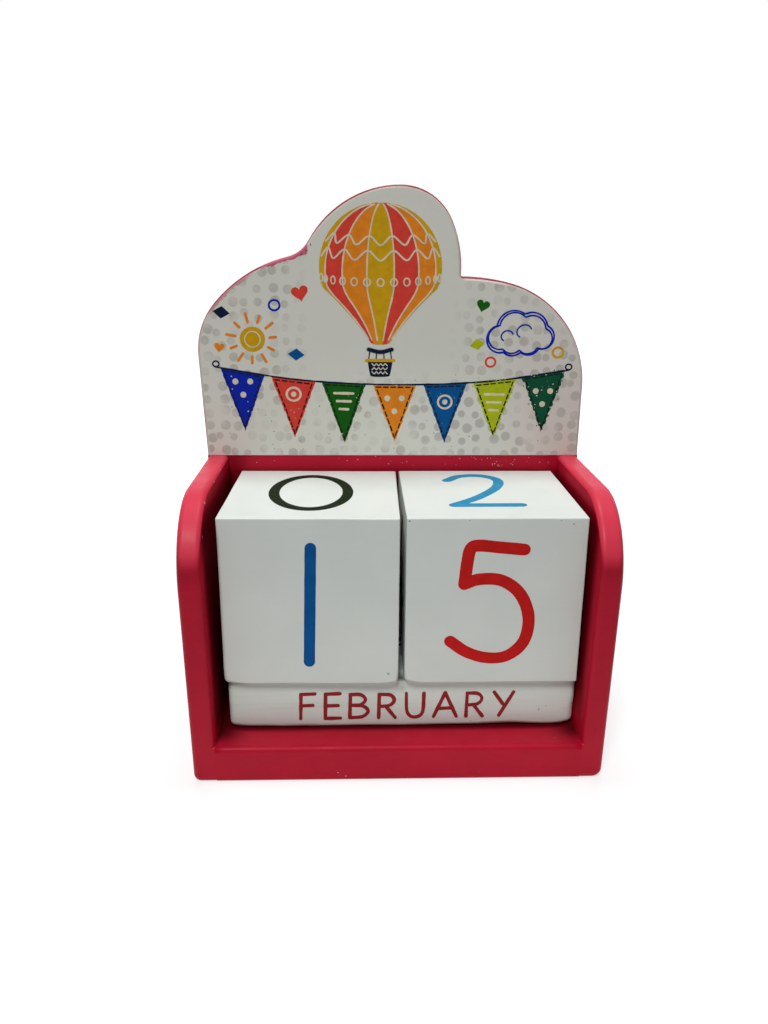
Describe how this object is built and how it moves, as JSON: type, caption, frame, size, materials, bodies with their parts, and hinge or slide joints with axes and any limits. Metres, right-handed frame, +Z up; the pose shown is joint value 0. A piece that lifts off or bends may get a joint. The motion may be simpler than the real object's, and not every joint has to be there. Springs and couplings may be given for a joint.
{
  "type": "perpetual desk calendar",
  "caption": "Painted wooden desk calendar: a small tray with a rounded header board at the back holds number cubes for the day on top of month bars.",
  "frame": {"origin": "middle of the footprint, on the surface that the calendar stands on", "axes": "+Z up, -Y towards the reader (the front), +X to the reader's right"},
  "size_m": [0.1104, 0.06, 0.1488],
  "materials": {
    "tray_paint": "satin crimson paint on MDF",
    "print_sheet": "satin printed film, off-white",
    "white_painted_wood": "eggshell white paint on solid wood, with printed digits and month names",
    "brad_steel": "bright steel wire, heads painted over"
  },
  "bodies": {
    "tray": {"base_board": "tray_paint", "left_side_panel": "tray_paint", "right_side_panel": "tray_paint", "back_board": "tray_paint", "header_print_sheet": "print_sheet", "back_brads": "brad_steel", "left_side_brads": "brad_steel", "right_side_brads": "brad_steel"},
    "left_cube": {"number_cube_left": "white_painted_wood"},
    "right_cube": {"number_cube_right": "white_painted_wood"},
    "rear_bar": {"month_bar_rear": "white_painted_wood"},
    "middle_bar": {"month_bar_middle": "white_painted_wood"},
    "front_bar": {"month_bar_front": "white_painted_wood"}
  },
  "joints": [
    {"name": "left_cube_lift", "type": "slide", "parent": "tray", "child": "left_cube", "axis": [0, 0, 1], "range_m": [0, 0.06]},
    {"name": "right_cube_lift", "type": "slide", "parent": "tray", "child": "right_cube", "axis": [0, 0, 1], "range_m": [0, 0.06]},
    {"name": "rear_bar_slide", "type": "slide", "parent": "tray", "child": "rear_bar", "axis": [0, -1, 0], "range_m": [0, 0.054]},
    {"name": "middle_bar_slide", "type": "slide", "parent": "rear_bar", "child": "middle_bar", "axis": [0, -1, 0], "range_m": [0, 0.04]},
    {"name": "front_bar_slide", "type": "slide", "parent": "middle_bar", "child": "front_bar", "axis": [0, -1, 0], "range_m": [0, 0.026]}
  ]
}
